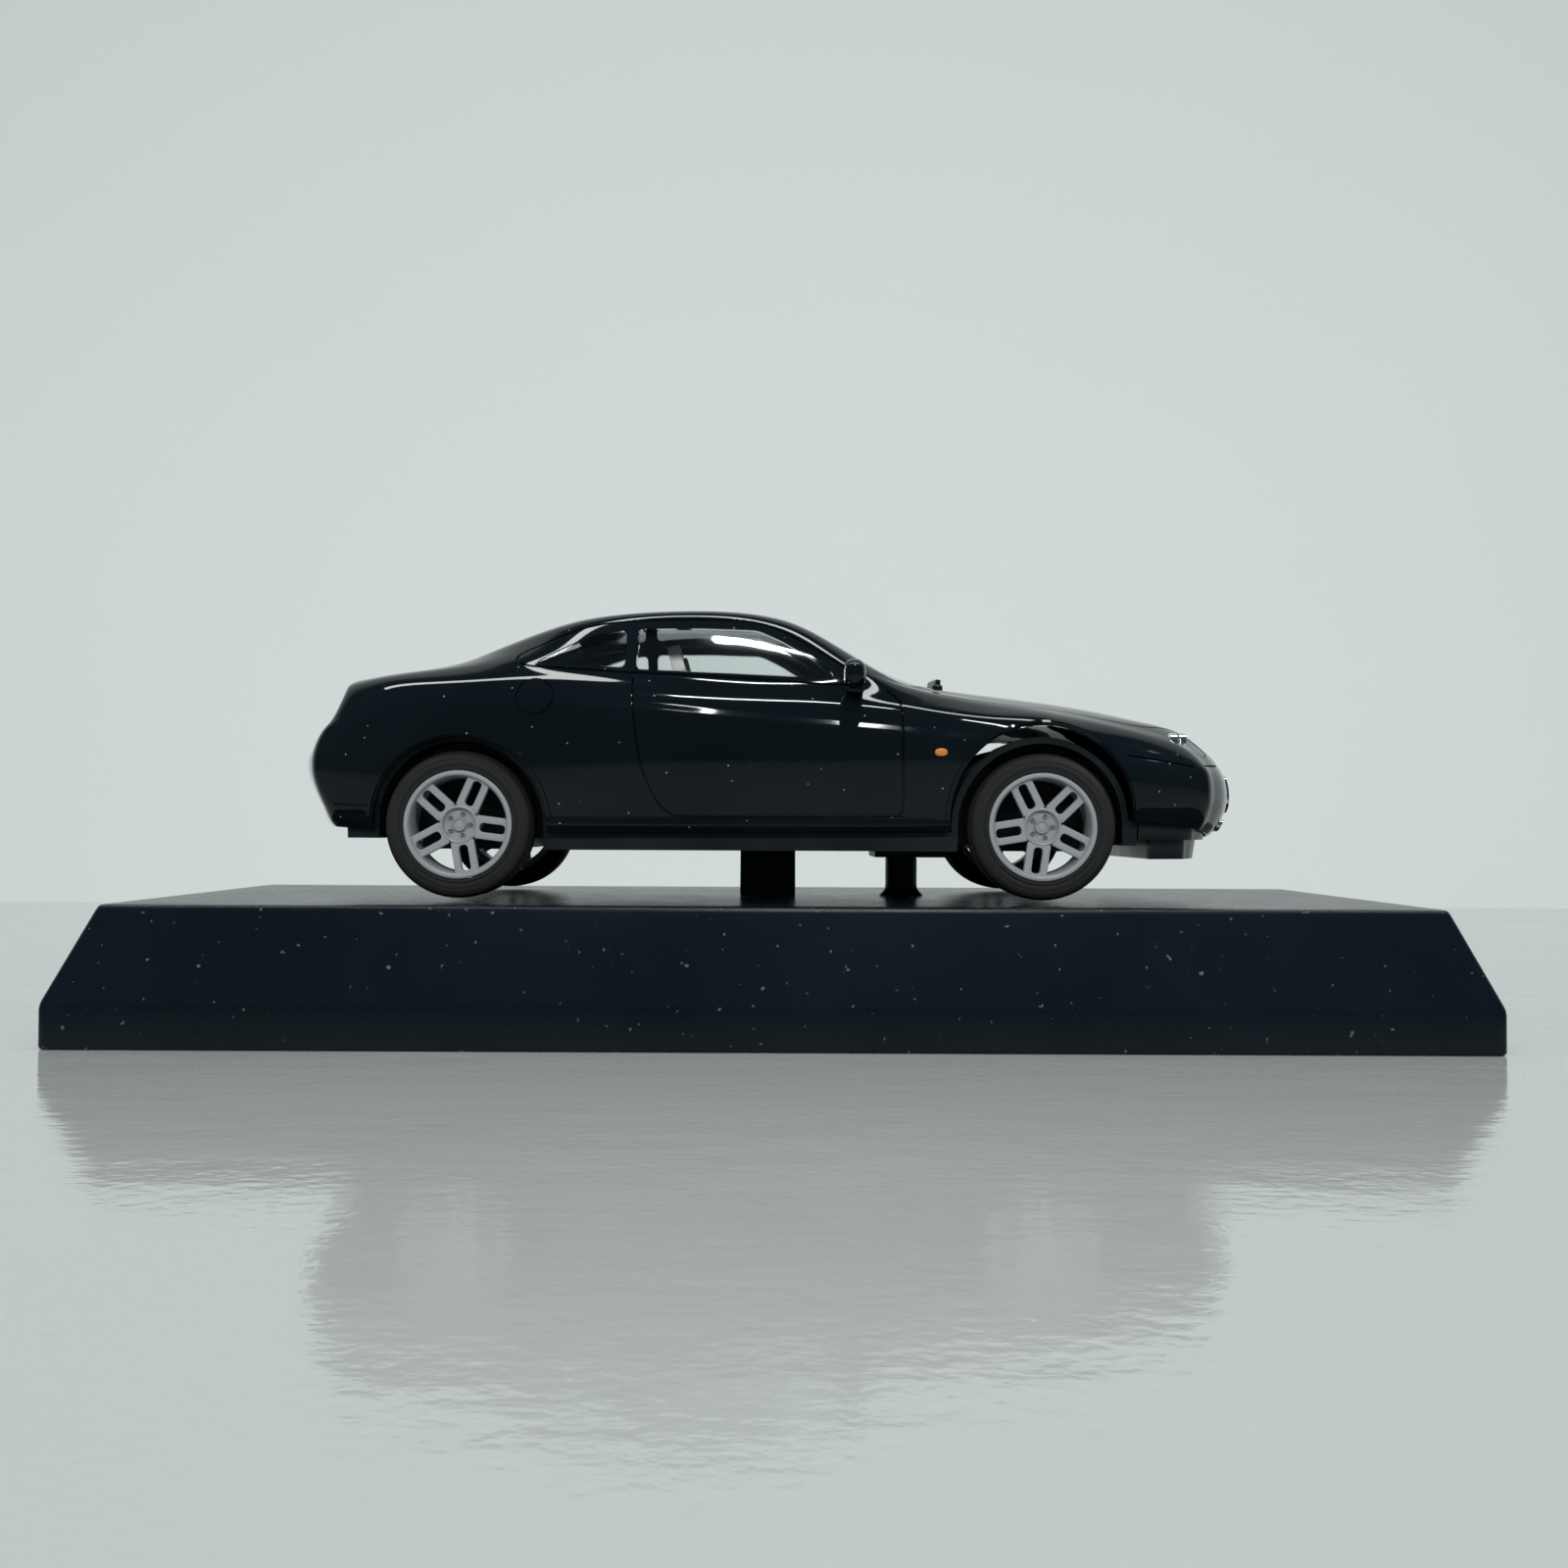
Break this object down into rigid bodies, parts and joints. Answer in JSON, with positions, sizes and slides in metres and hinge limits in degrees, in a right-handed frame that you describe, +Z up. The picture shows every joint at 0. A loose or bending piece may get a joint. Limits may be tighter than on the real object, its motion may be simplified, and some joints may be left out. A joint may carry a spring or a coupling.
{
  "type": "diecast model car on a display plinth",
  "caption": "Small black diecast coupe model screwed on two posts to a sloping-sided black display plinth, with wheel pairs that turn on their axles.",
  "frame": {"origin": "middle of the plinth's underside, on the surface it stands on", "axes": "+X the way the car faces, +Y the car's left, +Z up"},
  "size_m": [0.0926, 0.044, 0.0298],
  "materials": {
    "plinth_plastic": "fine spark-textured black moulding, satin where it is handled",
    "black_paint": "gloss black enamel under clear lacquer on a zinc casting",
    "chassis_plastic": "satin black moulded plastic",
    "clear_moulding": "clear polished plastic moulding",
    "cabin_dark": "grained dark grey moulding",
    "cabin_light": "matt painted light grey",
    "plated_trim": "vacuum-plated plastic",
    "rim_silver": "silver metallic paint, fine flake",
    "tyre_rubber": "soft black vinyl, slightly dusty tread",
    "zinc_screw": "zinc-plated steel",
    "amber_lens": "printed amber lacquer",
    "red_lens": "clear red lacquer"
  },
  "bodies": {
    "display_car": {"plinth": "plinth_plastic", "rear_post": "plinth_plastic", "front_post": "plinth_plastic", "rear_display_screw": "zinc_screw", "front_display_screw": "zinc_screw", "body_shell": "black_paint", "chassis_plate": "chassis_plastic", "rear_body_screw": "zinc_screw", "front_body_screw": "zinc_screw", "chin_spoiler": "chassis_plastic", "glazing": "clear_moulding", "interior_tub": "cabin_dark", "dashboard": "cabin_dark", "steering_wheel": "cabin_dark", "front_seat_left": "cabin_light", "front_seat_right": "cabin_light", "rear_bench": "cabin_light", "headlamp_lens_left": "clear_moulding", "headlamp_lens_right": "clear_moulding", "headlamp_reflector_left": "plated_trim", "headlamp_reflector_right": "plated_trim", "front_grille": "plated_trim", "lower_grille": "plated_trim", "tail_lamp_strip": "red_lens", "side_repeater_left": "amber_lens", "side_repeater_right": "amber_lens", "door_mirror_left": "black_paint", "door_mirror_right": "black_paint", "wiper_left": "chassis_plastic", "wiper_right": "chassis_plastic", "tail_pipe": "plated_trim"},
    "front_wheelset": {"front_axle": "zinc_screw", "rim_front_left": "rim_silver", "tyre_front_left": "tyre_rubber", "rim_front_right": "rim_silver", "tyre_front_right": "tyre_rubber"},
    "rear_wheelset": {"rear_axle": "zinc_screw", "rim_rear_left": "rim_silver", "tyre_rear_left": "tyre_rubber", "rim_rear_right": "rim_silver", "tyre_rear_right": "tyre_rubber"}
  },
  "joints": [
    {"name": "front_wheels_turn", "type": "hinge", "parent": "display_car", "child": "front_wheelset", "pos_m": [0.01822, 0, 0.01425], "axis": [0, 1, 0], "continuous": true},
    {"name": "rear_wheels_turn", "type": "hinge", "parent": "display_car", "child": "rear_wheelset", "pos_m": [-0.02148, 0, 0.01425], "axis": [0, 1, 0], "continuous": true}
  ]
}
